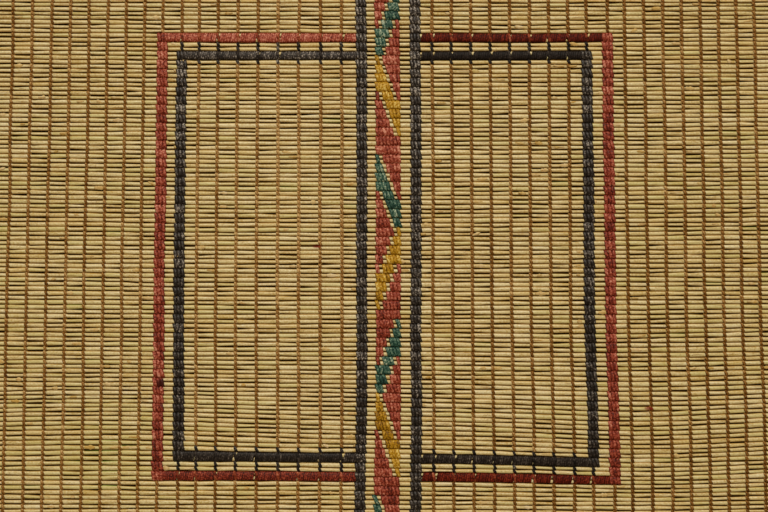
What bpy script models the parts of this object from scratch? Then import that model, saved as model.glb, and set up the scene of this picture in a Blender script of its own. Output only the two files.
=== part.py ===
"""Woven reed mat: a cut length of desert tent matting, lying flat.

Stiff grass stems lie side by side along X and leather thongs bind them along Y.
Two black bands run the whole length with a zigzag of dyed strips between them.
On each side of them a black bracket lies inside a red one.
Sizes are in metres. The origin is under the middle of the mat, +Z is up, +Y its top edge.
"""
import math
import random

import bmesh
import bpy

# The field of reeds
MAT_WIDTH = 0.480
REED_COUNT = 118
REED_PITCH = 0.00274
REED_THICKNESS = 0.0026
GROOVE_DEPTH = 0.0006
REED_UNEVENNESS = 0.00018
GROOVE_UNEVENNESS = 0.00012
REED_SEED = 7
# Places across a reed, from its upper edge, that shape its arch
ARCH_PLACES = (0.15, 0.5, 0.85)

# The leather
LEATHER = 0.0006
CLEARANCE = 0.0003
THONG_WIDTH = 0.0022
STRIP_WIDTH = 0.0021
BAND_WIDTH = 3 * STRIP_WIDTH

# Heights of the three layers: thongs under the reeds, the reeds, thongs over them
REED_BASE = LEATHER + CLEARANCE
REED_TOP = REED_BASE + REED_THICKNESS
OVER_BASE = REED_TOP + CLEARANCE
OVER_TOP = OVER_BASE + LEATHER

HALF_LENGTH = REED_COUNT * REED_PITCH / 2

# Plain thongs: eight in each field, between its first and its last, with the middle ones
# shifted by the bow
THONGS_PER_FIELD = 8
FIELDS = (
    # name, first thong, last thong, bow
    ("outer_left", -0.2256, -0.1458, 0.0006),
    ("inner_left", -0.1124, -0.0251, -0.0014),
    ("inner_right", 0.0298, 0.1119, -0.0003),
    ("outer_right", 0.1463, 0.2252, 0.0011),
)

# Black bands that run the whole length beside the zigzag
CENTRE_BANDS = (("left", -0.0133), ("right", 0.0195))

# Brackets: a wrapped pair of reeds above and below, joined by an upright band
BRACKETS = (
    # name, colour, upright band, first reed of the upper pair, first reed of the lower pair
    ("red_left", "red", -0.1347, 10, 106),
    ("black_left", "black", -0.1228, 14, 102),
    ("black_right", "black", 0.1233, 14, 102),
    ("red_right", "red", 0.1359, 10, 106),
)
BAR_REEDS = 2
BAR_EDGE_BEVEL = 0.0006
# A bar is this much slimmer than the folded end that it grows from
BAR_INSET = 0.0001

# Zigzag: seven strips wide, each stitch over a pair of reeds
MOTIF_CENTRE = 0.0026
MOTIF_STRIPS = 7
MOTIF_WIDTH = MOTIF_STRIPS * STRIP_WIDTH
STITCH_LENGTH = 2 * REED_PITCH
MOTIF_FIRST_REED = 1
MOTIF_STITCHES = 58

# One stitch for each step of a diagonal: C is the diagonal's colour, R red, a dot bare reed
DIAGONAL = (
    "C.RRRRR",
    "CC.RRRR",
    "CCC.RRR",
    "CCCC.RR",
    "R.CCC.R",
    "RR.CCCC",
    "RRR.CCC",
    "RRRR.CC",
    "RRRRR.C",
)

# The run of stitches from the top edge down
ZIGZAG = (
    # colour of the diagonal, its first step, its last step, whole red stitches after it
    ("G", 7, 1, 0),
    ("Y", 0, 8, 2),
    ("G", 0, 7, 0),
    ("Y", 8, 0, 1),
    ("G", 8, 1, 0),
    ("Y", 0, 8, 2),
    ("G", 0, 2, 0),
)

# Finish of each material: colour as linear RGB, roughness
FINISHES = {
    "reed": ((0.48, 0.36, 0.15), 0.45),
    "brown": ((0.19, 0.075, 0.028), 0.6),
    "black": ((0.022, 0.022, 0.026), 0.55),
    "red": ((0.32, 0.045, 0.035), 0.55),
    "yellow": ((0.39, 0.2, 0.024), 0.55),
    "green": ((0.035, 0.1, 0.055), 0.55),
}
MOTIF_COLOURS = {"R": "red", "Y": "yellow", "G": "green"}

# Points nearer than this are one point where a curve's caps are welded on
WELD_DISTANCE = 1e-6


def clear_scene():
    """Remove every object that is in the scene."""
    for thing in list(bpy.data.objects):
        bpy.data.objects.remove(thing, do_unlink=True)


def make_collection(name):
    """A new collection in the scene."""
    collection = bpy.data.collections.new(name)
    bpy.context.scene.collection.children.link(collection)
    return collection


def make_material(name, colour, roughness):
    """A plain finish of the given colour."""
    material = bpy.data.materials.new(name)
    material.use_nodes = True
    shader = material.node_tree.nodes["Principled BSDF"]
    shader.inputs["Base Color"].default_value = (*colour, 1.0)
    shader.inputs["Roughness"].default_value = roughness
    shader.inputs["Metallic"].default_value = 0.0
    return material


def reed_edge(index):
    """Y of the upper edge of a reed, counted from 0 at the top of the mat."""
    return HALF_LENGTH - index * REED_PITCH


def side_outline(name, loops, width, x, material, collection):
    """A flat outline of (y, z) points, given a width along X and centred on x."""
    curve = bpy.data.curves.new(name, "CURVE")
    curve.dimensions = "2D"
    curve.fill_mode = "BOTH"
    curve.extrude = width / 2
    for points in loops:
        spline = curve.splines.new("POLY")
        spline.points.add(len(points) - 1)
        for point, (y, z) in zip(spline.points, points):
            point.co = (y, z, 0.0, 1.0)
        spline.use_cyclic_u = True
    curve.materials.append(material)
    piece = bpy.data.objects.new(name, curve)
    piece.location.x = x
    piece.rotation_euler = (math.pi / 2, 0.0, math.pi / 2)
    collection.objects.link(piece)
    return piece


def as_mesh(piece):
    """Change a curve object into a mesh object whose caps are welded on."""
    bpy.context.view_layer.update()
    evaluated = piece.evaluated_get(bpy.context.evaluated_depsgraph_get())
    mesh = bpy.data.meshes.new_from_object(evaluated)
    shape = bmesh.new()
    shape.from_mesh(mesh)
    bmesh.ops.remove_doubles(shape, verts=shape.verts, dist=WELD_DISTANCE)
    shape.to_mesh(mesh)
    shape.free()
    name = piece.name
    collection = piece.users_collection[0]
    matrix = piece.matrix_world.copy()
    bpy.data.objects.remove(piece)
    solid = bpy.data.objects.new(name, mesh)
    solid.matrix_world = matrix
    collection.objects.link(solid)
    return solid


def make_box(name, low, high, collection, bevel=0.0):
    """A box between two corners, with its edges along X bevelled if asked."""
    shape = bmesh.new()
    bmesh.ops.create_cube(shape, size=1.0)
    size = [b - a for a, b in zip(low, high)]
    bmesh.ops.scale(shape, vec=size, verts=shape.verts)
    if bevel:
        long_edges = [e for e in shape.edges if e.verts[0].co.x * e.verts[1].co.x < 0]
        bmesh.ops.bevel(shape, geom=long_edges, offset=bevel, segments=2, profile=0.5,
                        affect="EDGES")
    mesh = bpy.data.meshes.new(name)
    shape.to_mesh(mesh)
    shape.free()
    box = bpy.data.objects.new(name, mesh)
    box.location = [(a + b) / 2 for a, b in zip(low, high)]
    collection.objects.link(box)
    return box


def hide_guide(guide):
    """Show a cutter or a guide as wires, and keep it out of renders."""
    guide.hide_render = True
    guide.display_type = "WIRE"


def combine(piece, other, operation):
    """Cut another mesh from a piece, or join it on."""
    boolean = piece.modifiers.new(other.name, "BOOLEAN")
    boolean.operation = operation
    boolean.object = other
    hide_guide(other)


def reed_profile():
    """Points round the field's side: a low arch over and under each reed."""
    chance = random.Random(REED_SEED)
    edges = [reed_edge(index) for index in range(REED_COUNT + 1)]
    for index in range(1, REED_COUNT):
        edges[index] += chance.uniform(-REED_UNEVENNESS, REED_UNEVENNESS)
    arch = []
    for upper, lower in zip(edges, edges[1:]):
        arch.append((upper, chance.uniform(0.0, GROOVE_UNEVENNESS)))
        for across in ARCH_PLACES:
            rise = GROOVE_DEPTH * math.sqrt(1 - (2 * across - 1) ** 2)
            arch.append((upper + (lower - upper) * across, rise))
    arch.append((edges[-1], 0.0))
    groove_top = REED_TOP - GROOVE_DEPTH
    groove_base = REED_BASE + GROOVE_DEPTH
    over = [(y, groove_top + rise) for y, rise in arch]
    under = [(y, groove_base - rise) for y, rise in reversed(arch)]
    return over + under


def bar_span(centre):
    """The X range of a bracket's bars, from its upright band to the near centre band."""
    reach = BAND_WIDTH / 2 + CLEARANCE
    if centre < 0:
        return centre, CENTRE_BANDS[0][1] - reach
    return CENTRE_BANDS[1][1] + reach, centre


def slot_span(centre):
    """The X range of the slots that a bracket's bars and folded ends lie in."""
    low, high = bar_span(centre)
    reach = BAND_WIDTH / 2 + CLEARANCE
    return min(low - CLEARANCE, centre - reach), max(high + CLEARANCE, centre + reach)


def make_reed_field(material, collection, cutters):
    """The reeds as one ribbed slab, cut through where pairs of reeds are wrapped."""
    outline = side_outline("reed_field", [reed_profile()], MAT_WIDTH, 0.0, material, collection)
    field = as_mesh(outline)
    for name, _, centre, *pairs in BRACKETS:
        low_x, high_x = slot_span(centre)
        for first in pairs:
            low = (low_x, reed_edge(first + BAR_REEDS), 0.0)
            high = (high_x, reed_edge(first), OVER_TOP)
            slot = make_box(f"slot_{name}_{first}", low, high, cutters)
            combine(field, slot, "DIFFERENCE")
    return field


def loop_outline():
    """Outer and inner loops of a thong that goes right round the mat."""
    inner_y = HALF_LENGTH + CLEARANCE
    outer_y = inner_y + LEATHER
    outer = [(-outer_y, 0.0), (outer_y, 0.0), (outer_y, OVER_TOP), (-outer_y, OVER_TOP)]
    inner = [(-inner_y, LEATHER), (inner_y, LEATHER), (inner_y, OVER_BASE), (-inner_y, OVER_BASE)]
    return [outer, inner]


def broken_loop_outline(upper, lower):
    """The same loop with its upper side left out between two places along Y."""
    outer, inner = loop_outline()
    upper_end = [(upper, OVER_BASE), (upper, OVER_TOP)]
    lower_end = [(lower, OVER_TOP), (lower, OVER_BASE)]
    outside = [outer[2], outer[1], outer[0], outer[3]]
    inside = [inner[3], inner[0], inner[1], inner[2]]
    return [upper_end + outside + lower_end + inside]


def make_thongs(material, collection):
    """The plain thongs of the four fields."""
    for field, first, last, bow in FIELDS:
        for index in range(THONGS_PER_FIELD):
            across = index / (THONGS_PER_FIELD - 1)
            x = first + (last - first) * across + bow * 4 * across * (1 - across)
            name = f"thong_{field}_{index + 1}"
            side_outline(name, loop_outline(), THONG_WIDTH, x, material, collection)


def make_centre_bands(material, collection):
    """The two black bands beside the zigzag."""
    for side, x in CENTRE_BANDS:
        side_outline(f"centre_band_{side}", loop_outline(), BAND_WIDTH, x, material, collection)


def make_bracket(name, centre, upper, lower, material, collection, cutters):
    """An upright band with its ends folded down to two wrapped pairs of reeds."""
    top_y = reed_edge(upper) - CLEARANCE
    fold_y = reed_edge(upper + BAR_REEDS) + CLEARANCE
    low_fold_y = reed_edge(lower) - CLEARANCE
    low_y = reed_edge(lower + BAR_REEDS) + CLEARANCE
    upright = [
        (top_y, REED_BASE), (top_y, OVER_TOP), (low_y, OVER_TOP), (low_y, REED_BASE),
        (low_fold_y, REED_BASE), (low_fold_y, OVER_BASE), (fold_y, OVER_BASE), (fold_y, REED_BASE),
    ]
    outline = side_outline(f"bracket_{name}", [upright], BAND_WIDTH, centre, material, collection)
    bracket = as_mesh(outline)
    low_x, high_x = bar_span(centre)
    for label, high, low in (("upper", top_y, fold_y), ("lower", low_fold_y, low_y)):
        start = (low_x, low + BAR_INSET, REED_BASE + BAR_INSET)
        stop = (high_x, high - BAR_INSET, REED_TOP)
        bar = make_box(f"bar_{name}_{label}", start, stop, cutters, bevel=BAR_EDGE_BEVEL)
        combine(bracket, bar, "UNION")
    return bracket


def make_bracket_thong(name, centre, upper, lower, material, collection):
    """The plain thong in line with an upright band, which it passes behind."""
    loops = broken_loop_outline(reed_edge(upper), reed_edge(lower + BAR_REEDS))
    side_outline(f"thong_behind_{name}", loops, THONG_WIDTH, centre, material, collection)


def zigzag_stitches():
    """One string of seven letters for each stitch, from the top edge down."""
    stitches = []
    for colour, first, last, whole in ZIGZAG:
        step = 1 if last > first else -1
        for index in range(first, last + step, step):
            stitches.append(DIAGONAL[index].replace("C", colour))
        stitches += ["R" * MOTIF_STRIPS] * whole
    return stitches


def patches_of(letter, stitches):
    """Groups of (strip, stitch) cells of one colour that share sides."""
    cells = {(strip, row) for row, line in enumerate(stitches)
             for strip, mark in enumerate(line) if mark == letter}
    patches = []
    while cells:
        waiting = [min(cells, key=lambda cell: (cell[1], cell[0]))]
        cells.discard(waiting[0])
        patch = set()
        while waiting:
            strip, row = waiting.pop()
            patch.add((strip, row))
            beside = {(strip - 1, row), (strip + 1, row), (strip, row - 1), (strip, row + 1)}
            waiting += sorted(beside & cells)
            cells -= beside
        patches.append(patch)
    return patches


def make_patch(name, cells, material, collection):
    """A stepped plate of leather over the cells of one patch."""
    length = MOTIF_STITCHES * STITCH_LENGTH
    left = MOTIF_CENTRE - MOTIF_WIDTH / 2
    top = reed_edge(MOTIF_FIRST_REED)
    shape = bmesh.new()
    bmesh.ops.create_grid(shape, x_segments=MOTIF_STRIPS, y_segments=MOTIF_STITCHES, size=0.5)
    bmesh.ops.scale(shape, vec=(MOTIF_WIDTH, length, 1.0), verts=shape.verts)
    middle = (MOTIF_CENTRE, top - length / 2, OVER_BASE)
    bmesh.ops.translate(shape, vec=middle, verts=shape.verts)
    bare = []
    for face in shape.faces:
        place = face.calc_center_median()
        cell = (int((place.x - left) / STRIP_WIDTH), int((top - place.y) / STITCH_LENGTH))
        if cell not in cells:
            bare.append(face)
    bmesh.ops.delete(shape, geom=bare, context="FACES")
    rim = bmesh.ops.inset_region(shape, faces=shape.faces[:], thickness=CLEARANCE / 2,
                                 use_boundary=True, use_even_offset=True)
    bmesh.ops.delete(shape, geom=rim["faces"], context="FACES")
    mesh = bpy.data.meshes.new(name)
    shape.to_mesh(mesh)
    shape.free()
    mesh.materials.append(material)
    patch = bpy.data.objects.new(name, mesh)
    collection.objects.link(patch)
    leather = patch.modifiers.new("leather", "SOLIDIFY")
    leather.thickness = LEATHER
    leather.offset = 1.0


def make_zigzag(materials, collection):
    """Every patch of dyed strips between the two centre bands."""
    stitches = zigzag_stitches()
    for letter, colour in MOTIF_COLOURS.items():
        for index, cells in enumerate(patches_of(letter, stitches)):
            make_patch(f"zigzag_{colour}_{index + 1}", cells, materials[colour], collection)


def main():
    """Build the mat."""
    clear_scene()
    mat = make_collection("woven_reed_mat")
    cutters = make_collection("cutters")
    materials = {name: make_material(name, *finish) for name, finish in FINISHES.items()}
    make_reed_field(materials["reed"], mat, cutters)
    make_thongs(materials["brown"], mat)
    make_centre_bands(materials["black"], mat)
    for name, colour, centre, upper, lower in BRACKETS:
        make_bracket(name, centre, upper, lower, materials[colour], mat, cutters)
        make_bracket_thong(name, centre, upper, lower, materials["brown"], mat)
    make_zigzag(materials, mat)


main()
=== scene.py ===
# %% [markdown]
# # A woven reed mat
#
# Desert tents are walled and floored with mats of stiff grass stems.
# The stems lie side by side, and leather thongs bind them every finger's width.
# The finer mats carry bands, brackets and zigzags, sewn with strips of dyed leather.
#
# The mat is built from one idea, a tube whose sections are worked out as an array.
# A stem, a twisted thong, a stitch and a wrapped bar are all such tubes.

import bpy
import numpy as np
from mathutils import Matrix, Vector


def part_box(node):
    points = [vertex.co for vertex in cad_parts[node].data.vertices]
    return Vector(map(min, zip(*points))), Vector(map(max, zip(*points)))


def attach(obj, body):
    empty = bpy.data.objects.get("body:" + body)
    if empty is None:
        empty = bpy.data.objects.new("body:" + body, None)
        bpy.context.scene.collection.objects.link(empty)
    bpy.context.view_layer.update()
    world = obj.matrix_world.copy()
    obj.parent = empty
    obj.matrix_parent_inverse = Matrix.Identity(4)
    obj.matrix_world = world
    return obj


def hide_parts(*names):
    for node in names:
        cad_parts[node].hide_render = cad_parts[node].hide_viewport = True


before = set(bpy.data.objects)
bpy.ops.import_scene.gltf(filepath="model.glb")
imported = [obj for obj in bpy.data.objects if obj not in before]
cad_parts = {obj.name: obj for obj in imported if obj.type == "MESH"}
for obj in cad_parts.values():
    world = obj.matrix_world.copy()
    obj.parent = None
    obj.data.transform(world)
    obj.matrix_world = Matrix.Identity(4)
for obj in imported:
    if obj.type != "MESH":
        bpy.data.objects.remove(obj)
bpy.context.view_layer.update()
MM = 0.001
print("solids in the packed model:", len(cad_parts))

# %% [markdown]
# ## Where everything lies
#
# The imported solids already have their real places, so each line of leather takes its X from them.
# The rows come from the width of the field, which holds a known number of stems.
# Rows count from the mat's upper edge, at +Y, downwards.

# %% Places read from the solids
REED_COUNT = 118
FIELDS = ("outer_left", "inner_left", "inner_right", "outer_right")
THONGS_PER_FIELD = 8
SIDES = ("left", "right")
# The first rows of each bracket's upper and lower pair of wrapped stems.
BRACKETS = {"red": (10, 106), "black": (14, 102)}


def middle_x(node):
    """X half way between a solid's sides."""
    low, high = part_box(node)
    return (low[0] + high[0]) / 2


field_low, field_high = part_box("reed_field")
PITCH = (field_high[1] - field_low[1]) / REED_COUNT
TOP_EDGE = field_high[1]
LEFT_END, RIGHT_END = field_low[0], field_high[0]
MID_Z = (field_low[2] + field_high[2]) / 2
CROWN = field_high[2] - MID_Z
FULL_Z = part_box("centre_band_left")[1][2] / 2

thong_x = {f: [middle_x(f"thong_{f}_{i + 1}") for i in range(THONGS_PER_FIELD)] for f in FIELDS}
centre_x = {side: middle_x(f"centre_band_{side}") for side in SIDES}
bracket_x = {(colour, side): middle_x(f"thong_behind_{colour}_{side}")
             for colour in BRACKETS for side in SIDES}
ZIGZAG_X = middle_x("zigzag_red_3")
print("stem pitch in mm:", round(PITCH / MM, 3), "zigzag at", round(ZIGZAG_X / MM, 2))

# %% [markdown]
# ## The camera
#
# The picture looks straight down, leaning a few degrees so that the lower edge is nearer.
# A 50 mm lens about 0.64 m above the mat frames 461 mm of it across 768 pixels.
# The camera comes early, because everything after it is judged through it.

# %% Camera
PIXEL = 0.6 * MM
PICTURE_WIDTH = 768
LENS = 50.0
SENSOR = 36.0
DISTANCE = LENS / SENSOR * PICTURE_WIDTH * PIXEL
LEAN = np.radians(3.5)
AIM = Vector((0.0, -1.1 * MM, field_high[2]))

camera_data = bpy.data.cameras.new("camera")
camera_data.lens = LENS
camera_data.sensor_width = SENSOR
camera_data.clip_start = 0.01
camera = bpy.data.objects.new("camera", camera_data)
camera.location = AIM + DISTANCE * Vector((0.0, -np.sin(LEAN), np.cos(LEAN)))
camera.rotation_euler = (LEAN, 0.0, 0.0)
bpy.context.scene.collection.objects.link(camera)
bpy.context.scene.camera = camera
print("camera distance in m:", round(DISTANCE, 3))

# %% [markdown]
# ## How the rows stray from a ruled grid
#
# Stems are never straight or of one thickness, so the rows of a real mat wander.
# Each piece could stray by itself, but then thongs would cut through stems.
# So one random table of row edges, smooth along X, is shared by every piece.
# Two broad swells are added where the rows rise or fall together by a few millimetres.

# %% Row edges
SEED = 19
chance = np.random.default_rng(SEED)
EDGE_STRAY = 0.17 * MM
KNOT_SPACING = 55 * MM
SAG = 0.8 * MM
STRETCH = 0.9 * MM
EDGE_HOLD = 8
LEFT_SWELL = (-160 * MM, 105 * MM, -104 * MM, 24 * MM, 3.0 * MM)
RIGHT_SWELL = (155 * MM, 85 * MM, -112 * MM, 45 * MM, 3.3 * MM)

knots = np.arange(LEFT_END, RIGHT_END + KNOT_SPACING, KNOT_SPACING)
stray = chance.normal(0.0, EDGE_STRAY, (REED_COUNT + 1, len(knots)))
stray[0] = 0.0
stray[-1] = 0.0


def eased(share):
    """A share from 0 to 1 that starts and stops gently: its square times (3 - 2 share)."""
    return share * share * (3 - 2 * share)


def swell(x, y, shape):
    """A bell-shaped rise: its height times exp(-distance squared) in units of its two widths.
    The shape is middle x, width in x, middle y, width in y and height."""
    at_x, wide_x, at_y, wide_y, height = shape
    return height * np.exp(-((x - at_x) / wide_x) ** 2 - ((y - at_y) / wide_y) ** 2)


def row_y(x, row):
    """Y of the upper edge of a row at x, for arrays of both. Rows may be fractions.
    It is the ruled grid, plus the stray of that edge, eased between knots, plus the swells,
    which die away at the mat's upper and lower edge."""
    x, row = np.broadcast_arrays(np.asarray(x, float), np.asarray(row, float))
    base = np.clip(np.floor(row), 0, REED_COUNT - 1).astype(int)
    part = row - base
    place = np.clip((x - LEFT_END) / KNOT_SPACING, 0, len(knots) - 1.001)
    knot = place.astype(int)
    ease = eased(place - knot)
    near = stray[base, knot] * (1 - ease) + stray[base, knot + 1] * ease
    far = stray[base + 1, knot] * (1 - ease) + stray[base + 1, knot + 1] * ease
    y = TOP_EDGE - row * PITCH + near * (1 - part) + far * part
    edge_fade = 1 - (y / TOP_EDGE) ** EDGE_HOLD
    y = y + edge_fade * (SAG * ((x / RIGHT_END) ** 2 - 0.5) + STRETCH * y / TOP_EDGE)
    return y + edge_fade * (swell(x, y, LEFT_SWELL) - swell(x, y, RIGHT_SWELL))


print("greatest stray of an edge in mm:", round(float(np.abs(stray).max()) / MM, 2))

# %% [markdown]
# The lines of leather wander too. The middle ones bow to the left towards both ends of the mat,
# and those to the right lean outwards in the lower half. A second random table, coarse along
# the line and fine across it, lets each line stray on its own.

# %% Lean of the lines of leather
MIDDLE_BOW = 1.0 * MM
MIDDLE_WIDTH = 50 * MM
FLARE = 1.0 * MM
FLARE_FROM_X, FLARE_OVER_X = -150 * MM, 50 * MM
FLARE_FROM_Y, FLARE_OVER_Y = -20 * MM, 100 * MM
WANDER = 0.24 * MM
WANDER_X, WANDER_Y = 12 * MM, 42 * MM
wander_knots = chance.normal(0.0, WANDER, (int((RIGHT_END - LEFT_END) / WANDER_X) + 3,
                                           int(2 * TOP_EDGE / WANDER_Y) + 3))


def column_x(x, y):
    """X at height y of a line of leather whose place is x, for arrays of both.
    It is x, plus the random table eased between its knots, plus the flare, less the bow,
    which grows with the square of y."""
    x, y = np.broadcast_arrays(np.asarray(x, float), np.asarray(y, float))
    across, down = (x - LEFT_END) / WANDER_X, (TOP_EDGE - y) / WANDER_Y
    i = np.clip(across.astype(int), 0, wander_knots.shape[0] - 2)
    j = np.clip(down.astype(int), 0, wander_knots.shape[1] - 2)
    a, b = across - i, eased(down - j)
    upper_knots = wander_knots[i, j] * (1 - a) + wander_knots[i + 1, j] * a
    lower_knots = wander_knots[i, j + 1] * (1 - a) + wander_knots[i + 1, j + 1] * a
    middle = np.exp(-(x / MIDDLE_WIDTH) ** 2)
    flare = FLARE * eased(np.clip((FLARE_FROM_Y - y) / FLARE_OVER_Y, 0, 1)) * (1 - middle)
    flare = flare * np.clip((x - FLARE_FROM_X) / FLARE_OVER_X, 0, 1)
    bow = MIDDLE_BOW * (y / TOP_EDGE) ** 2 * middle
    return x + upper_knots * (1 - b) + lower_knots * b + flare - bow


print("greatest stray of a line in mm:", round(float(np.abs(wander_knots).max()) / MM, 2))

# %% [markdown]
# ## One helper for every tube
#
# Blender could draw each stem and strand as a curve, but thousands of curves are slow.
# Here the points of all tubes are one array, and the faces follow from its shape.
# Each tube gets its own strip of the UV map, so that a texture made from it stays sharp.

# %% Faces of many tubes


def tube_faces(tubes, sections, around, looped):
    """Point numbers of the quads that join each section to the next, and of the end caps.
    A looped tube has no caps: its last section joins its first."""
    number = np.arange(tubes * sections * around).reshape(tubes, sections, around)
    beside = np.roll(number, -1, axis=2)
    after, beside_after = np.roll(number, -1, axis=1), np.roll(beside, -1, axis=1)
    spans = sections if looped else sections - 1
    quads = np.stack([number, after, beside_after, beside], axis=-1)[:, :spans].reshape(-1, 4)
    if looped:
        return quads, np.empty((0, around), int)
    return quads, np.concatenate([number[:, 0], number[:, -1, ::-1]])


print("quads and caps of a box-like tube:", [len(part) for part in tube_faces(1, 2, 4, False)])

# %% [markdown]
# A UV map lays the faces out flat. Blender's own unwrapping is slow for so many tubes, and
# a grid of equal cells, one for each tube, is worked out at once from the same numbers.

# %% The UV map of many tubes
UV_NAME = "OFBake"
UV_EDGE = 0.04


def tube_uv(tubes, sections, around, looped):
    """UV of each quad's corners and of each cap's. The tubes stand in a grid of equal cells.
    In a cell, u runs with the sections and v with the turn, and both caps share an oval."""
    spans = sections if looped else sections - 1
    across = max(1, int(np.ceil(np.sqrt(tubes * around / sections))))
    down = int(np.ceil(tubes / across))
    t, s, k = np.meshgrid(np.arange(tubes), np.arange(spans), np.arange(around), indexing="ij")
    u = (s[..., None] + np.array([0, 1, 1, 0])) / spans
    v = (k[..., None] + np.array([0, 0, 1, 1])) / around
    u = (t[..., None] % across + UV_EDGE + (1 - 2 * UV_EDGE) * u) / across
    v = (t[..., None] // across + UV_EDGE + (1 - 2 * UV_EDGE) * v) / down
    quad_uv = np.stack([u, v], axis=-1).reshape(-1, 4, 2)
    cap_t = np.tile(np.arange(tubes), 0 if looped else 2)[:, None]
    turn = 2 * np.pi * np.arange(around) / around
    cap_u = (cap_t % across + UV_EDGE / 2 * (1 + 0.8 * np.cos(turn))) / across
    cap_v = (cap_t // across + 0.5 + 0.2 * np.sin(turn)) / down
    return quad_uv, np.stack([cap_u, cap_v], axis=-1)


print("highest UV of one tube:", round(float(tube_uv(1, 2, 4, False)[0].max()), 3))

# %% [markdown]
# A closed mesh that is inside out measures a negative volume, and that sign says whether its
# faces have to be turned over. Values at the points become attributes for the materials.

# %% Many tubes as one mesh
CREASE_ANGLE = np.radians(75)


def joined_tubes(name, rings, looped=False, marks=None):
    """One mesh from rings[t, s, k], where k goes round section s of tube t.
    Marks are values at each point, or anything that numpy can spread over the points."""
    tubes, sections, around, _ = rings.shape
    quads, caps = tube_faces(tubes, sections, around, looped)
    quad_uv, cap_uv = tube_uv(tubes, sections, around, looped)
    flat = rings.reshape(-1, 3)
    a, b, c, d = (flat[quads[:, i]] for i in range(4))
    outward = np.einsum("ij,ij->", a - flat.mean(0), np.cross(c - a, d - b)) > 0
    if not outward:
        quads, caps, quad_uv = quads[:, ::-1], caps[:, ::-1], quad_uv[:, ::-1]
    corners = np.concatenate([quads.ravel(), caps.ravel()])
    starts = np.concatenate([np.arange(len(quads)) * 4,
                             len(quads) * 4 + np.arange(len(caps)) * around])

    mesh = bpy.data.meshes.new(name)
    mesh.vertices.add(len(flat))
    mesh.vertices.foreach_set("co", flat.astype(np.float32).ravel())
    mesh.loops.add(len(corners))
    mesh.loops.foreach_set("vertex_index", corners.astype(np.int32))
    mesh.polygons.add(len(starts))
    mesh.polygons.foreach_set("loop_start", starts.astype(np.int32))
    mesh.update(calc_edges=True)
    uv = np.concatenate([quad_uv.reshape(-1, 2), cap_uv.reshape(-1, 2)]).astype(np.float32)
    mesh.uv_layers.new(name=UV_NAME).uv.foreach_set("vector", uv.ravel())
    for mark, values in (marks or {}).items():
        spread = np.broadcast_to(values, (tubes, sections, around)).astype(np.float32)
        attribute = mesh.attributes.new(mark, "FLOAT", "POINT")
        attribute.data.foreach_set("value", np.ascontiguousarray(spread).ravel())
    mesh.shade_smooth()
    mesh.set_sharp_from_angle(angle=CREASE_ANGLE)

    piece = bpy.data.objects.new(name, mesh)
    bpy.context.scene.collection.objects.link(piece)
    print(f"{name}: {tubes} tubes, {2 * len(quads) + (around - 2) * len(caps)} triangles")
    return piece


# %% [markdown]
# ## The stems
#
# The real stems are hollow grass, 2 to 3 mm thick, cut to one length and dried.
# A thong squeezes each stem a little, so a tube has three sections for each thong: one under it
# and one at either side. Between them the stem is straight, as in the picture.
# More sections would only bend it where the real one is stiff.

# %% Sections along a stem
SQUEEZE_REACH = 1.6 * MM
BAND_REACH = 3.3 * MM
columns = sorted([x for field in thong_x.values() for x in field]
                 + list(centre_x.values()) + list(bracket_x.values()))
reaches = [BAND_REACH if x in centre_x.values() else SQUEEZE_REACH for x in columns]
sections_x = np.concatenate([[LEFT_END], np.repeat(columns, 3), [RIGHT_END]])
beside_line = np.concatenate([[0.0], np.outer(reaches, [-1, 0, 1]).ravel(), [0.0]])
is_bound = np.zeros(len(sections_x), bool)
is_bound[2:-1:3] = True
# The stretch of bare stem, counted from the left, that each section belongs to.
stretch = np.concatenate([[0], np.repeat(np.arange(len(columns)), 3), [len(columns)]])
stretch[3::3] += 1
print("lines of leather:", len(columns), "sections in a stem:", len(sections_x))

# %% [markdown]
# The width of a stem is what lies between two row edges, less a gap of about half a millimetre.
# Some gaps are hairlines and some are twice as wide, which an exponential of a random number
# gives. Half of the flakes of torn sheath lie beside a wide gap.

# %% Gaps between the stems
GAP = 0.5 * MM
GAP_BY_STRETCH = 0.6375
GAP_BY_SECTION = 0.51
NARROWEST_GAP, TORN_GAP, WIDEST_GAP = 0.03 * MM, 0.756 * MM, 1.08 * MM
FLAKES = 190
all_stretches = (REED_COUNT, len(columns) + 1)
all_sections = (REED_COUNT, len(sections_x))

gap = GAP * np.exp(GAP_BY_STRETCH * chance.normal(size=all_stretches)[:, stretch]
                   + GAP_BY_SECTION * chance.normal(size=all_sections))
gap = gap.clip(NARROWEST_GAP, WIDEST_GAP)
wrapped_rows = [row + i for pair in BRACKETS.values() for row in pair for i in (0, 1)]
flake_row = chance.choice(np.setdiff1d(np.arange(REED_COUNT), wrapped_rows), FLAKES)
flake_stretch = chance.integers(0, len(columns) + 1, FLAKES)
torn = np.zeros(all_stretches, bool)
torn[flake_row[:FLAKES // 2], flake_stretch[:FLAKES // 2]] = True
gap = np.where(torn[:, stretch], np.maximum(gap, TORN_GAP), gap)
print("gaps in mm, narrowest, middle and widest:",
      [round(float(f(gap)) / MM, 2) for f in (np.min, np.median, np.max)])

# %% [markdown]
# A section is a squared circle with four corners above and three below, where nobody looks.
# Round stems would let the pale floor show in the gaps, and on the real mat they are dark.
# So the lower corners are spread until most of them meet the next stem's, and most gaps are
# closed grooves.

# %% Shape of the stems
REED_TURNS = np.radians([20, 61, 119, 160, 214, 270, 326])
REED_SQUARENESS = 0.78
SQUEEZE, PRESS = 0.9, 0.93
TALLNESS = 1.08
LEAST_HALF_HEIGHT = 0.85 * MM
TOUCH = 1.2
TILT, RISE = 0.09 * MM, 0.09 * MM
END_MARGIN, RAGGED, MOST_RAGGED = 1.3 * MM, 0.5 * MM, 1.2 * MM


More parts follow.
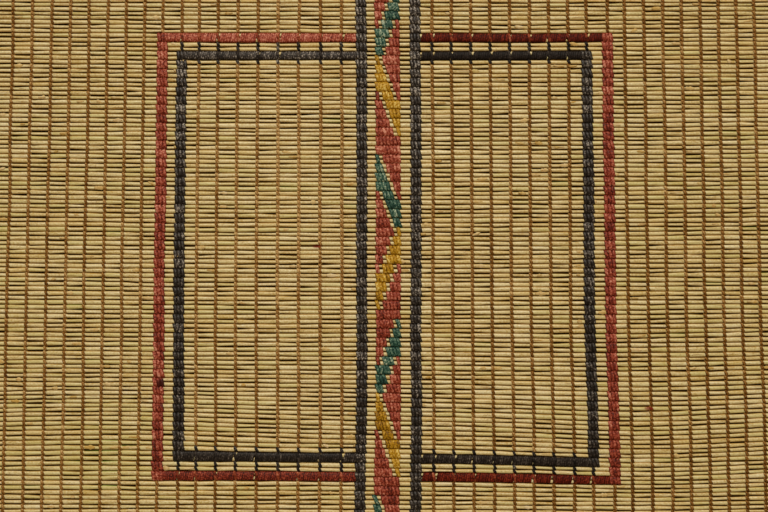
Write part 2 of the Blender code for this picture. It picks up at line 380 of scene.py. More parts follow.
def squared_off(wave, power):
    """A sine or cosine with its sign kept and its size raised to a power. Below 1 it makes
    a squared circle of a round one."""
    return np.sign(wave) * np.abs(wave) ** power


rows = np.arange(REED_COUNT)[:, None]
upper, lower = row_y(sections_x, rows), row_y(sections_x, rows + 1)
tilt = TILT * chance.normal(size=all_sections)
rise = RISE * chance.normal(size=all_sections)
half_width = (upper - lower - gap) / 2 * np.where(is_bound, SQUEEZE, 1.0)
half_height = (half_width * TALLNESS).clip(LEAST_HALF_HEIGHT, CROWN)
half_height = half_height * np.where(is_bound, PRESS, 1.0)
reed_y = (upper + lower) / 2 + tilt
ragged = chance.normal(0.0, RAGGED, (REED_COUNT, 2)).clip(-MOST_RAGGED, MOST_RAGGED)
reed_x = column_x(sections_x, reed_y) + beside_line
reed_x[:, 0] = LEFT_END + END_MARGIN + ragged[:, 0]
reed_x[:, -1] = RIGHT_END - END_MARGIN - ragged[:, 1]

reed_cos = squared_off(np.cos(REED_TURNS), REED_SQUARENESS)
reed_sin = squared_off(np.sin(REED_TURNS), REED_SQUARENESS)
touching = (upper - lower) / 2 * TOUCH
half_widths = np.where(reed_sin < 0, touching[..., None], half_width[..., None])
reed_rings = np.stack(np.broadcast_arrays(
    reed_x[..., None], reed_y[..., None] + half_widths * reed_cos,
    MID_Z + rise[..., None] + half_height[..., None] * reed_sin), axis=-1)
print("stem thickness in mm:", round(float(2 * half_height.mean()) / MM, 2))

# %% [markdown]
# Stems differ in tone and in hue, some greener and some more golden, and each again a little
# from thong to thong. Four broad tints follow the picture: one is a faint green stain.
# The flank says how far round the stem a corner is, and jumps for the lower corners, so that the
# painted shade of the groove is full as soon as it turns down.

# %% Tone and hue of each stem
REED_TONE = 0.51
EDGE_PAINTED_SHADE = 0.05
GROOVE_SHADE_JUMP = 0.9
TINTS = ((-166 * MM, 22 * MM, -116 * MM, 14 * MM, 3.8),
         (-210 * MM, 90 * MM, -90 * MM, 110 * MM, 0.5),
         (0.0, 100 * MM, 40 * MM, 150 * MM, -0.7),
         (40 * MM, 200 * MM, 155 * MM, 45 * MM, -0.9))


def by_stem_and_stretch(of_stem, of_stretch):
    """Random values around 0, with these spreads from stem to stem and from thong to thong."""
    return (chance.normal(0.0, of_stem, (REED_COUNT, 1))
            + chance.normal(0.0, of_stretch, all_stretches)[:, stretch])


# Painted shade: the stems darken towards the mat's upper and lower edges, where the light falls
# off.
reed_shade = by_stem_and_stretch(0.03, 0.055) - EDGE_PAINTED_SHADE * (reed_y / TOP_EDGE) ** 4
reed_hue = by_stem_and_stretch(0.75, 1.15)
reed_hue = reed_hue + sum(swell(reed_x, reed_y, tint) for tint in TINTS)
reeds = joined_tubes("reeds", reed_rings, marks={
    "shade": REED_TONE + reed_shade[..., None], "hue": reed_hue[..., None],
    "flank": (1.0 - reed_sin) / 2 + GROOVE_SHADE_JUMP * (reed_sin < 0)})

# %% [markdown]
# ### Straw
#
# Dried grass has a thin waxy skin over fibres that run along the stem.
# The skin gives a soft, narrow shine, and the fibres show as fine streaks.
# A colour is picked as a hex value, as on a screen, and the renderer needs it linear, so one
# function turns it over.

# %% Colours


def linear(hex_colour):
    """Linear RGBA of an sRGB hex value, by the usual curve with its straight foot."""
    srgb = np.array([int(hex_colour[i:i + 2], 16) / 255 for i in (1, 3, 5)])
    rgb = np.where(srgb <= 0.04045, srgb / 12.92, ((srgb + 0.055) / 1.055) ** 2.4)
    return (*rgb.tolist(), 1.0)


print("straw in linear light:", [round(v, 3) for v in linear("#d4c28b")[:3]])

# %% [markdown]
# A material is a tree of nodes. They could be placed by hand in the shader editor, but in
# a script they differ only in kind, settings and links, so one function adds them all.

# %% Nodes and materials


def add(tree, kind, inputs=None, output=0, stops=(), **settings):
    """One output of a new node of any kind. Inputs are values, or the outputs that feed them,
    by name or number. Stops are a colour ramp's pairs of place and hex colour."""
    node = tree.nodes.new("ShaderNode" + kind)
    for key, value in settings.items():
        setattr(node, key, value)
    for key, value in (inputs or {}).items():
        if isinstance(value, bpy.types.NodeSocket):
            tree.links.new(value, node.inputs[key])
        else:
            node.inputs[key].default_value = value
    while stops and len(node.color_ramp.elements) < len(stops):
        node.color_ramp.elements.new(0.5)
    for i, (place, colour) in enumerate(stops):
        node.color_ramp.elements[i].position = place
        node.color_ramp.elements[i].color = linear(colour)
    return node.outputs[output]


def new_material(name, roughness, ior):
    """A material, its node tree and its main shader, with plain values on the shader's sockets."""
    material = bpy.data.materials.new(name)
    material.use_nodes = True
    shader = material.node_tree.nodes["Principled BSDF"]
    shader.inputs["Roughness"].default_value = roughness
    shader.inputs["IOR"].default_value = ior
    return material, material.node_tree, shader


straw, straw_tree, straw_shader = new_material("dried_waxy_straw", roughness=0.42, ior=1.45)
print("nodes to begin with:", [node.name for node in straw_tree.nodes])

# %% [markdown]
# Each pattern is noise in Object coordinates, drawn out along the stem. Its cell sizes are
# those of the real thing in millimetres: splits, blotches, mottle, specks and dots of mould.
# Real fibres lie about 0.05 mm apart, too fine to show, so they are drawn eight times coarser.

# %% Patterns of dried waxy grass
# Length along the stem, width across it, detail and roughness of each noise.
STRAW_PATTERNS = {"fibres": (9 * MM, 0.4 * MM, 3.0, 0.6), "splits": (14 * MM, 0.55 * MM, 1.0, 0.5),
                  "blotches": (5.5 * MM, 2.4 * MM, 2.0, 0.5),
                  "mottle": (1.15 * MM, 0.8 * MM, 1.0, 0.5),
                  "specks": (2.0 * MM, 0.7 * MM, 2.0, 0.5), "dots": (0.9 * MM, 0.8 * MM, 1.0, 0.5)}

on_stem = add(straw_tree, "TexCoord", output="Object")
pattern = {}
for name, (length, width, detail, rough) in STRAW_PATTERNS.items():
    scaled = add(straw_tree, "Mapping", {
        "Vector": on_stem, "Scale": (1 / length, 1 / width, 1 / width)})
    pattern[name] = add(straw_tree, "TexNoise", {
        "Vector": scaled, "Scale": 1.0, "Detail": detail, "Roughness": rough})
shade, hue, flank = (add(straw_tree, "Attribute", output="Fac", attribute_name=mark)
                     for mark in ("shade", "hue", "flank"))
print("patterns in the straw:", list(pattern))

# %% [markdown]
# A stain is a second colour whose cover follows a value: none up to one place on its scale and
# the most from another. Green, gold, splits, specks, dots and back are all stains; the same
# function lays painted shade on the flanks and in the grooves between stems.
# Two drops of red dye were spilt on the real mat. Each is an oval with a ragged edge.

# %% Stains and spilt dye
DYE_SPOTS = ((-40.3 * MM, 4.8 * MM), (157.6 * MM, -92.0 * MM))
SPOT_WIDTH, SPOT_HEIGHT = 2.6 * MM, 1.1 * MM
SPOT_GRAIN = 0.8 * MM
SPOT_RAGGEDNESS = 1.2


def with_stains_and_shade(tree, colour, stains):
    """The colour with other colours laid over it in turn: stains, dyes and painted shade. Each is a
    value, where on the value's scale it starts and is full, the most that it covers, and its
    colour, in hex or as a socket."""
    for value, start, full, most, stain in stains:
        cover = add(tree, "MapRange", {
            "Value": value, "From Min": start, "From Max": full, "To Max": most})
        stain = linear(stain) if isinstance(stain, str) else stain
        colour = add(tree, "MixRGB", {"Fac": cover, "Color1": colour, "Color2": stain})
    return colour


def dye_spots(tree, colour):
    """The colour with the spilt dye on it, by distance from a drop's middle plus noise."""
    place = add(tree, "TexCoord", output="Object")
    fine = add(tree, "Mapping", {"Vector": place, "Scale": [1 / SPOT_GRAIN] * 3})
    ragged = add(tree, "TexNoise", {"Vector": fine, "Scale": 1.0, "Detail": 2.0})
    for x, y in DYE_SPOTS:
        scaled = add(tree, "Mapping", {
            "Vector": place, "Location": (-x / SPOT_WIDTH, -y / SPOT_HEIGHT, 0.0),
            "Scale": (1 / SPOT_WIDTH, 1 / SPOT_HEIGHT, 0.0)})
        away = add(tree, "VectorMath", {0: scaled}, output="Value", operation="LENGTH")
        away = add(tree, "Math", {0: ragged, 1: SPOT_RAGGEDNESS, 2: away},
                   operation="MULTIPLY_ADD")
        colour = with_stains_and_shade(tree, colour, [(away, 1.9, 1.2, 0.85, "#80170f")])
    return colour


print("drops of dye:", len(DYE_SPOTS))

# %% [markdown]
# The tone of a stem is its own shade plus three of the patterns. A ramp turns tone into straw
# colours, from dull brown to nearly cream, and the stains lie over it. Painted shade follows: a
# golden brown down the shoulders, partly the straw's own colour, and near black in the grooves.
# The wax shines on the crowns only, because dust dulls the flanks, and the fibres give the skin
# its relief.

# %% Material: dried waxy grass stems
DARKENING = -0.84
straw_tone = DARKENING
for value, weight in ((shade, 1.0), (pattern["mottle"], 0.9), (pattern["fibres"], 0.7),
                      (pattern["blotches"], 0.2)):
    straw_tone = add(straw_tree, "Math", {0: value, 1: weight, 2: straw_tone},
                     operation="MULTIPLY_ADD")
straw_colour = add(straw_tree, "ValToRGB", {"Fac": straw_tone}, stops=[
    (0.0, "#937438"), (0.3, "#bfa663"), (0.5, "#d4c28b"), (0.72, "#e2d5a6"), (1.0, "#f1e9ca")])
straw_colour = with_stains_and_shade(straw_tree, straw_colour, [
    (hue, 0.2, 2.0, 0.5, "#c6bd70"), (hue, -0.4, -2.4, 0.32, "#d2b159"),
    (pattern["splits"], 0.64, 0.72, 0.65, "#8b5f22"),
    (pattern["specks"], 0.62, 0.78, 0.6, "#93702a"),
    (pattern["dots"], 0.67, 0.78, 0.6, "#6d4614")])
# Painted shade: golden brown down the shoulders, partly the straw's own colour, and near black in
# the grooves between stems, greenish in the green stain.
golden_and_flank_shade = with_stains_and_shade(straw_tree, linear("#bd8218"), [(hue, 3.4, 4.6, 1.0, "#8a9a10")])
groove_shade = with_stains_and_shade(straw_tree, linear("#180a00"), [(hue, 3.4, 4.6, 1.0, "#1f4400")])
straw_colour = with_stains_and_shade(straw_tree, straw_colour, [
    (flank, 0.06, 0.42, 0.85, golden_and_flank_shade), (flank, 0.33, 0.62, 0.97, groove_shade),
    (flank, 1.7, 1.85, 0.9, "#c4ad6c")])
waxy_shine = add(straw_tree, "MapRange", {
    "Value": flank, "From Min": 0.05, "From Max": 0.35, "To Min": 0.5, "To Max": 0.0})
fibre_relief = add(straw_tree, "Bump", {
    "Height": pattern["fibres"], "Strength": 0.5, "Distance": 0.06 * MM})

straw_tree.links.new(dye_spots(straw_tree, straw_colour), straw_shader.inputs["Base Color"])
straw_tree.links.new(waxy_shine, straw_shader.inputs["Specular IOR Level"])
straw_tree.links.new(fibre_relief, straw_shader.inputs["Normal"])
reeds.data.materials.append(straw)
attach(reeds, "root")
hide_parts("reed_field")
print("straw nodes:", len(straw_tree.nodes))

# %% [markdown]
# ### Torn sheaths
#
# A leaf sheath wraps each joint of the grass, and bits of it stay on after stripping.
# Each is a thin pointed flake lying along a stem, lifted at one end. A flake could be a flat
# sheet, but a flattened tube has two sides and a closed skin.
# They are golden, so they take the straw's colour a little way down its flank.

# %% Flakes of sheath
FLAKE_SECTIONS = 8
FLAKE_SIDES = 6
FLAKE_KEPT_FROM_ENDS = 6 * MM
FLAKE_SPOTS = (0.2, 0.8)
FLAKE_LENGTHS = (2.4 * MM, 7.0 * MM)
FLAKE_WIDTHS = (1.1 * MM, 2.6 * MM)
MOST_LIFT = 0.8 * MM
SWING = 0.28 * MM
FLAKE_ON_STEM = 0.45
FLAKE_THICKNESS = 0.06 * MM
FLAKE_DROOP = 0.25
FLAKE_FLANK = 0.19
line_x = np.concatenate([[LEFT_END + FLAKE_KEPT_FROM_ENDS], columns,
                         [RIGHT_END - FLAKE_KEPT_FROM_ENDS]])
spot = chance.uniform(*FLAKE_SPOTS, FLAKES)
flake_x = line_x[flake_stretch] * (1 - spot) + line_x[flake_stretch + 1] * spot
flake_length = chance.uniform(*FLAKE_LENGTHS, (FLAKES, 1))
flake_width = chance.uniform(*FLAKE_WIDTHS, (FLAKES, 1))
lift = chance.uniform(0.0, MOST_LIFT, (FLAKES, 1)) * chance.choice([-1, 1], (FLAKES, 1))
swing = chance.normal(0.0, SWING, (FLAKES, 1))

along = np.linspace(-1, 1, FLAKE_SECTIONS)
flake_mid = flake_x[:, None] + along * flake_length / 2
flake_y = row_y(flake_mid, flake_row[:, None] + FLAKE_ON_STEM) + swing * along
flake_z = field_high[2] + 0.02 * MM + np.abs(lift) * (0.5 + 0.5 * along * np.sign(lift)) ** 2
flake_wide = flake_width * np.sqrt(1.02 - along ** 2) * chance.uniform(0.7, 1.2, flake_y.shape)
flake_turn = 2 * np.pi * np.arange(FLAKE_SIDES) / FLAKE_SIDES
flake_rings = np.stack(np.broadcast_arrays(
    flake_mid[..., None], flake_y[..., None] + flake_wide[..., None] / 2 * np.cos(flake_turn),
    flake_z[..., None] - FLAKE_DROOP * flake_wide[..., None] * np.cos(flake_turn) ** 2
    + FLAKE_THICKNESS * np.sin(flake_turn)), axis=-1)
flakes = joined_tubes("sheath_flakes", flake_rings, marks={
    "shade": 0.5 + chance.normal(0.0, 0.13, (FLAKES, 1, 1)),
    "hue": chance.normal(-1.0, 1.0, (FLAKES, 1, 1)), "flank": FLAKE_FLANK})
flakes.data.materials.append(straw)
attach(flakes, "root")

# %% [markdown]
# ## The thongs
#
# Each thong is two strands of soft goatskin. One passes over a stem while the other passes
# under it, and they cross between the stems: this is called twining.
# Seen from above, a strand starts at the upper left of a stem and ends at its lower right.
# A strand is a flat strip carried along its path, so that comes first.

# %% A flat strip along a path
STRAND_SIDES = 6


def ribbon(path, width, thickness):
    """Oval sections along path[t, s]. The wide way is X, turned square to the path's direction,
    and the thin way is square to both, so the strip always lies flat on what it passes over."""
    direction = np.gradient(path, axis=1)
    direction /= np.linalg.norm(direction, axis=-1, keepdims=True)
    wide = np.array([1.0, 0.0, 0.0]) - direction[..., :1] * direction
    wide /= np.linalg.norm(wide, axis=-1, keepdims=True)
    thin = np.cross(direction, wide)
    turn = 2 * np.pi * np.arange(STRAND_SIDES) / STRAND_SIDES
    w = np.broadcast_to(width, path.shape[:2])[..., None, None] / 2
    h = np.broadcast_to(thickness, path.shape[:2])[..., None, None] / 2
    cos, sin = np.cos(turn)[:, None], np.sin(turn)[:, None]
    return path[:, :, None] + w * cos * wide[:, :, None] + h * sin * thin[:, :, None]


straight = np.linspace([0.0, 0.0, 0.0], [0.0, 1.0, 0.0], 3)[None]
print("points of a short strip:", ribbon(straight, 1.0, 0.5).shape)

# %% [markdown]
# A twined strand is a flat helix: sideways by a cosine, and up and down by a sine raised to
# a small power, which keeps it close round the stem. Where a thong crosses a wrapped pair of
# stems, it makes one long stitch over both.

# %% Stitches of a thong
TWINE_PLACES = np.array([0.0, 0.2, 0.5, 0.8])
TWINE_SIDEWAYS, SIDEWAYS_SPREAD = 0.5 * MM, 0.12
STRAND_STRAY = 0.05 * MM
STRAND_WIDTH, STRAND_SPREAD = 1.75 * MM, 0.06
STRAND_THICKNESS = 0.6 * MM
TWINE_HEIGHT = CROWN + 0.22 * MM
TWINE_SQUARENESS = 0.35
CROSSING_RISE = 0.6 * MM
CROSSING_WIDTH, CROSSING_THICKNESS = 0.85, 0.6
BAR_LIFT = 0.4 * MM
BRACKET_MARGIN = 3 * MM


def wrapped_pairs(x):
    """First rows of the wrapped pairs that a thong at x crosses: by the outer brackets' reach."""
    pairs = [row for colour in BRACKETS for row in BRACKETS[colour]
             if abs(x) < abs(bracket_x[colour, "left"]) - BRACKET_MARGIN]
    return np.array(pairs)


def twine(lines, first_row, last_row, spin):
    """Rings and row numbers of both strands of several thongs between two rows, and how far
    each point is from a crossing. Sideways: -a cos(pi q). Up: b times the sign and a root of
    sin(pi q). q counts stitches: one for each stem, and one for both stems of a wrapped pair."""
    r = (np.arange(first_row, last_row)[:, None] + TWINE_PLACES).ravel()
    r = np.append(r, last_row)
    x0 = np.repeat(lines, 2)[:, None]
    into_pair = np.clip(r[:, None] - wrapped_pairs(np.abs(lines).max()), 0, 2)
    q = r - into_pair.sum(axis=1) / 2
    over_bar = ((into_pair > 0) & (into_pair < 2)).any(axis=1)
    phase = np.pi * (q + np.tile([0, 1], len(lines))[:, None])
    wave = np.sin(phase)
    y = row_y(x0, np.clip(r, 0, REED_COUNT))
    sideways = TWINE_SIDEWAYS * spin.normal(1.0, SIDEWAYS_SPREAD, y.shape)
    x = column_x(x0, y) - sideways * np.cos(phase) + spin.normal(0.0, STRAND_STRAY, y.shape)
    level = np.abs(wave) ** TWINE_SQUARENESS
    height = (TWINE_HEIGHT + BAR_LIFT * over_bar) * np.sign(wave) * level
    z = MID_Z + height + CROSSING_RISE * (1 - level)
    front = np.abs(wave)
    width = STRAND_WIDTH * (CROSSING_WIDTH + (1 - CROSSING_WIDTH) * front)
    width = width * spin.normal(1.0, STRAND_SPREAD, y.shape)
    thickness = STRAND_THICKNESS * (CROSSING_THICKNESS + (1 - CROSSING_THICKNESS) * front)
    rings = ribbon(np.stack([x, y, z], axis=-1), width, thickness)
    return rings, np.broadcast_to(r, y.shape), front


print("pairs that the inner thongs cross:", wrapped_pairs(thong_x["inner_left"][0]))

# %% [markdown]
# The skin is paler in the upper middle of the left half and darker towards the lower right
# corner, and the strands are painted lighter at the crossings between stems, a painted light.
# Where a thong crosses a wrapped bar, the stitches next to it have taken the bar's dye. All of
# that is kept as values on the mesh.

# %% Tone and dye of the thongs
THONG_PALE = (-65 * MM, 60 * MM, 50 * MM, 120 * MM, 0.24)
THONG_DARK = (230 * MM, 150 * MM, -150 * MM, 150 * MM, 0.22)
THONG_TONE, THONG_RUB = 0.47, 0.5
STITCH_TONES, THONG_TONES = 0.1, 0.05
CROSSING_PAINTED_LIGHT = 0.25
DYED_DARKER = 0.16
RED_DYE_STRENGTH = 0.85
# Painted shade along both long edges of a strip, where it meets the next one.
PAINTED_CREASE_SHADE = np.abs(np.cos(2 * np.pi * np.arange(STRAND_SIDES) / STRAND_SIDES)) ** 3
DYED_ROWS = {"black": ((12, 17), (101, 106)), "red": ((10, 12), (106, 108))}


def dyed(r, lines, colour):
    """1 on the stitches of a thong that took the dye of a bar, and 0 elsewhere."""
    inside = np.abs(lines) < abs(bracket_x[colour, "left"]) + BRACKET_MARGIN
    near = np.zeros(r.shape, bool)
    for first, last in DYED_ROWS[colour]:
        near |= (r >= first) & (r < last)
    return (near & np.repeat(inside, 2)[:, None]).astype(float)


def thong_marks(r, front, lines, spin):
    """Shade of each stitch, with the pale and dark regions and painted light at the crossings, and
    where the strand is dyed.
    """
    stitch = np.floor(r).astype(int)
    shade = spin.normal(0.0, STITCH_TONES, (len(lines) * 2, REED_COUNT + 1))
    shade += np.repeat(spin.normal(0.0, THONG_TONES, (len(lines), 1)), 2, axis=0)
    # Painted light: the strands are lighter at the crossings between stems, where they lie lower.
    shade = np.take_along_axis(shade, stitch, axis=1) + CROSSING_PAINTED_LIGHT * (1 - front)
    x, y = np.repeat(lines, 2)[:, None], TOP_EDGE - r * PITCH
    black, red = dyed(r, lines, "black"), dyed(r, lines, "red")
    shade = shade + swell(x, y, THONG_PALE) - swell(x, y, THONG_DARK) - DYED_DARKER * (black + red)
    return {"shade": THONG_TONE + shade[..., None], "crease_shade": 0.5 * PAINTED_CREASE_SHADE, "rub": THONG_RUB,
            "black_dye": black[..., None], "red_dye": RED_DYE_STRENGTH * red[..., None]}


print("crease round a strand:", PAINTED_CREASE_SHADE.round(2))

# %% [markdown]
# The eight thongs of a field are one piece. Thirty-two pieces would say no more, and one for
# them all would have too many faces.

# %% The thongs of the four fields
thongs = []
for number, field in enumerate(FIELDS):
    spin = np.random.default_rng(SEED + 1 + number)
    lines = np.array(thong_x[field])
    rings, r, front = twine(lines, 0, REED_COUNT, spin)
    piece = joined_tubes(f"thongs_{field}", rings, marks=thong_marks(r, front, lines, spin))
    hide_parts(*[f"thong_{field}_{i + 1}" for i in range(THONGS_PER_FIELD)])
    thongs.append(piece)

# %% [markdown]
# In line with each upright band of a bracket, a plain thong shows above and below the band.

# %% Thongs in line with the brackets
spin = np.random.default_rng(SEED + 9)
for colour, (first, last) in BRACKETS.items():
    lines = np.array([bracket_x[colour, side] for side in SIDES])
    for end, (start, stop) in {"upper": (0, first), "lower": (last + 2, REED_COUNT)}.items():
        rings, r, front = twine(lines, start, stop, spin)
        piece = joined_tubes(f"thong_ends_{colour}_{end}", rings,
                             marks=thong_marks(r, front, lines, spin))
        thongs.append(piece)
        if end == "upper":
            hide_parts(*[f"thong_behind_{colour}_{side}" for side in SIDES])

# %% [markdown]
# ### Goatskin
#
# Undyed goatskin cut in narrow strips is a matt tan brown; the thongs' pale crossings are painted
# light.
# Rubbing wears it in patches. The real grain is about 0.1 mm, finer than a pixel, so the
# noise here is drawn nine times coarser. Every leather of the mat shares these two functions.

# %% Tone and finish of a leather strip
GRAIN = 0.95 * MM
LEATHER_TONE = 0.03
CREASE_SHADE_DARKER = -0.35
MATT, RUBBED_SHINE = 0.06, 0.35


def leather_tone(tree):
    """The tone for a leather's colour ramp, its wear and its rub. Tone is the stitch's shade,
    less the painted shade of its crease, plus the worn patches times how much the piece is rubbed."""
    place = add(tree, "TexCoord", output="Object")
    scaled = add(tree, "Mapping", {
        "Vector": place, "Scale": (1 / GRAIN, 1 / (1.2 * GRAIN), 1 / GRAIN)})
    wear = add(tree, "TexNoise", {
        "Vector": scaled, "Scale": 1.0, "Detail": 2.0, "Roughness": 0.6})
    patches = add(tree, "MapRange", {
        "Value": wear, "From Min": 0.36, "From Max": 0.66, "To Min": -0.47, "To Max": 0.53})
    shade, crease_shade, rub = (add(tree, "Attribute", output="Fac", attribute_name=mark)
                          for mark in ("shade", "crease_shade", "rub"))
    tone = LEATHER_TONE
    for value, weight in ((shade, 1.0), (crease_shade, CREASE_SHADE_DARKER), (patches, rub)):
        tone = add(tree, "Math", {0: value, 1: weight, 2: tone}, operation="MULTIPLY_ADD")
    return tone, wear, rub


def finish_leather(tree, shader, colour, wear, rub):
    """Link a leather's colour, a relief from its wear, and a shine where it is much rubbed."""
    shine = add(tree, "MapRange", {"Value": rub, "From Min": 0.4, "From Max": 0.8,
                                   "To Min": MATT, "To Max": RUBBED_SHINE})
    relief = add(tree, "Bump", {"Height": wear, "Strength": 0.8, "Distance": 0.2 * MM})
    tree.links.new(colour, shader.inputs["Base Color"])
    tree.links.new(shine, shader.inputs["Specular IOR Level"])
    tree.links.new(relief, shader.inputs["Normal"])


print("leather grain drawn at mm:", round(GRAIN / MM, 2))

# %% [markdown]
# One tone runs through three ramps, brown, red and black, and the dye kept on the mesh
# chooses between them. Separate materials would leave a hard edge where the dye ends.

# %% Material: undyed goatskin strips
# The black ramp's palest stop is partly the grey of worn leather and partly painted glints.
BLACK_AND_GLINT_STOPS = [(0.0, "#0f0a08"), (0.45, "#28211d"), (0.72, "#4e4640"), (1.0, "#aaa298")]
RED_STOPS = [(0.0, "#3d1008"), (0.2, "#642013"), (0.42, "#87321f"), (0.7, "#ae5943"),
             (1.0, "#d99a84")]
BROWN_STOPS = [(0.0, "#442501"), (0.35, "#704811"), (0.6, "#92652b"), (1.0, "#cbaa72")]
goatskin, skin_tree, skin_shader = new_material("undyed_goatskin_strips", roughness=0.62, ior=1.5)
tone, wear, rub = leather_tone(skin_tree)
brown, red, black = (add(skin_tree, "ValToRGB", {"Fac": tone}, stops=stops)
                     for stops in (BROWN_STOPS, RED_STOPS, BLACK_AND_GLINT_STOPS))
red_dye, black_dye = (add(skin_tree, "Attribute", output="Fac", attribute_name=mark)
                      for mark in ("red_dye", "black_dye"))
skin_colour = with_stains_and_shade(skin_tree, brown, [(red_dye, 0.0, 1.0, 1.0, red),
                                         (black_dye, 0.0, 1.0, 1.0, black)])
finish_leather(skin_tree, skin_shader, dye_spots(skin_tree, skin_colour), wear, rub)
for piece in thongs:
    piece.data.materials.append(goatskin)
    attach(piece, "root")
print("thong pieces:", len(thongs), "goatskin nodes:", len(skin_tree.nodes))

# %% [markdown]
# ## Stitches over pairs of stems
#
# The bands and the zigzag are strips sewn round two stems at a time.
# One long strip would follow the real thread, but only its turns show, so each stitch is
# a closed loop. It is a squared oval in Y and Z, sheared in X so that its front slants from
# the upper left to the lower right. Three loops side by side make a band.

# %% Shape of a stitch
STRIP = 2.1 * MM
STRIP_OVERLAP = 1.1
LOOP_SECTIONS = 14
LOOP_SQUARENESS = 0.55
LOOP_THICKNESS = 1.2 * MM
LOOP_CLEARANCE = 0.12 * MM
LOOP_STRAY = 0.06 * MM
SLANT_SPREAD, STRIP_SPREAD = 0.25, 0.04
EDGE_WIDTH, EDGE_THICKNESS = 0.9, 0.45
PAIR_TONES, LOOP_TONES = 0.06, 0.08
FADE = 0.06


def stitches(name, x, first_row, spin, slant=1.2 * MM, thickness=LOOP_THICKNESS, tone=0.0,
             rub=0.8, stains=()):
    """A loop round the two rows from each first_row, at each x. Both are arrays of one length.
    Y and Z follow a squared oval, and X leans by -slant / 2 times the cosine.
    A stain is a bell as in swell, whose height is how much darker the stitches there are."""
    turn = 2 * np.pi * (np.arange(LOOP_SECTIONS) + 0.5) / LOOP_SECTIONS
    cos, sin = np.cos(turn), np.sin(turn)
    points = (len(x), LOOP_SECTIONS)
    top, bottom = row_y(x, first_row)[:, None], row_y(x, first_row + 2)[:, None]
    half = (top - bottom) / 2 - LOOP_CLEARANCE
    rise = FULL_Z - thickness / 2 - np.abs(spin.normal(0.0, LOOP_STRAY, points))
    y = (top + bottom) / 2 + half * squared_off(cos, LOOP_SQUARENESS)
    z = FULL_Z + rise * squared_off(sin, LOOP_SQUARENESS)
    slants = slant * spin.normal(1.0, SLANT_SPREAD, (len(x), 1))
    middle = column_x(x, (top + bottom)[:, 0] / 2)[:, None]
    across = middle - slants / 2 * cos + spin.normal(0.0, LOOP_STRAY, points)
    path = np.stack(np.broadcast_arrays(across, y, z), axis=-1)
    wide = STRIP * STRIP_OVERLAP * (EDGE_WIDTH + (1 - EDGE_WIDTH) * np.abs(sin))
    wide = wide * spin.normal(1.0, STRIP_SPREAD, (len(x), 1))
    thick = thickness * (EDGE_THICKNESS + (1 - EDGE_THICKNESS) * np.abs(sin))
    # One more section at either end lets the strip turn smoothly where the loop closes.
    wrapped = np.concatenate([path[:, -1:], path, path[:, :1]], axis=1)
    ends = (np.pad(a, ((0, 0), (1, 1)), mode="wrap") for a in np.broadcast_arrays(wide, thick))
    rings = ribbon(wrapped, *ends)[:, 1:-1]
    of_pair = spin.normal(0.0, PAIR_TONES, REED_COUNT + 1)[first_row]
    shade = 0.5 + tone + (of_pair + spin.normal(0.0, LOOP_TONES, len(x)))[:, None, None]
    shade = shade + FADE * y[..., None] / TOP_EDGE
    for stain in stains:
        shade = shade - swell(across, y, stain)[..., None]
    return joined_tubes(name, rings, looped=True,
                        marks={"shade": shade, "crease_shade": PAINTED_CREASE_SHADE, "rub": rub})


print("strips beside each other, mm apart:", round(STRIP / MM, 2))

# %% [markdown]
# Two black bands run the whole length of the mat beside the zigzag. A list of places is
# enough for one band: three strips side by side, over every pair of stems.

# %% The black bands beside the zigzag
BAND_STRIPS = 3


def band_cells(centre, first, last):
    """X and first row of every stitch of a band, for pairs of rows from first up to last."""
    offsets = (np.arange(BAND_STRIPS) - (BAND_STRIPS - 1) / 2) * STRIP
    x, row = np.meshgrid(centre + offsets, np.arange(first, last, 2), indexing="ij")
    return x.ravel(), row.ravel()


dyed_pieces = {"black": [], "red": []}
for side in SIDES:
    spin = np.random.default_rng(SEED + 20 + SIDES.index(side))
    band = stitches(f"centre_band_{side}_stitches",
                    *band_cells(centre_x[side], 0, REED_COUNT), spin)
    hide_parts(f"centre_band_{side}")
    dyed_pieces["black"].append(band)

# %% [markdown]
# ## The brackets
#
# The upright part of a bracket is sewn like the bands. Its bars are pairs of stems wrapped
# closely in a strip, turn beside turn. One tube round both stems carries the turns as ridges
# that climb round it like a screw thread, which is far lighter than a coil of strip.
# Each bar is broken where a thong crosses it, and a little bare stem shows there.

# %% Shape of the wrapped bars
TURN_PITCH = 1.3 * MM
SECTIONS_PER_TURN = 4
BAR_SIDES = 14
BAR_LEAN = 0.75 * MM
TURN_STRAY = 0.06
RIDGE, RIDGE_STRAY = 0.09 * MM, 0.03 * MM
BAR_HEIGHT = CROWN + 0.4 * MM
BAR_CLEARANCE = 0.05 * MM
BAR_SQUARENESS = 0.5
STARTS_AFTER_THONG = (-0.3 * MM, 1.5 * MM)
STOPS_BEFORE_THONG = (-0.6 * MM, 1.3 * MM)
BAR_SHADE, LOWER_EDGE_PAINTED_SHADE = 0.43, 0.15
MANY_TURNS, TURN_TONES = 400, 0.07
TURN_GROOVE_SHADE = 0.3


def lengths_between(start_x, stop_x, crossings, spin):
    """Ends of the lengths of a bar, each of which stops a random little short of a thong."""
    edges = [start_x, *sorted(crossings), stop_x]
    spans = []
    for low, high in zip(edges, edges[1:]):
        left = low if low == start_x else low + spin.uniform(*STARTS_AFTER_THONG)
        right = high if high == stop_x else high - spin.uniform(*STOPS_BEFORE_THONG)
        spans.append((left, right))
    return spans


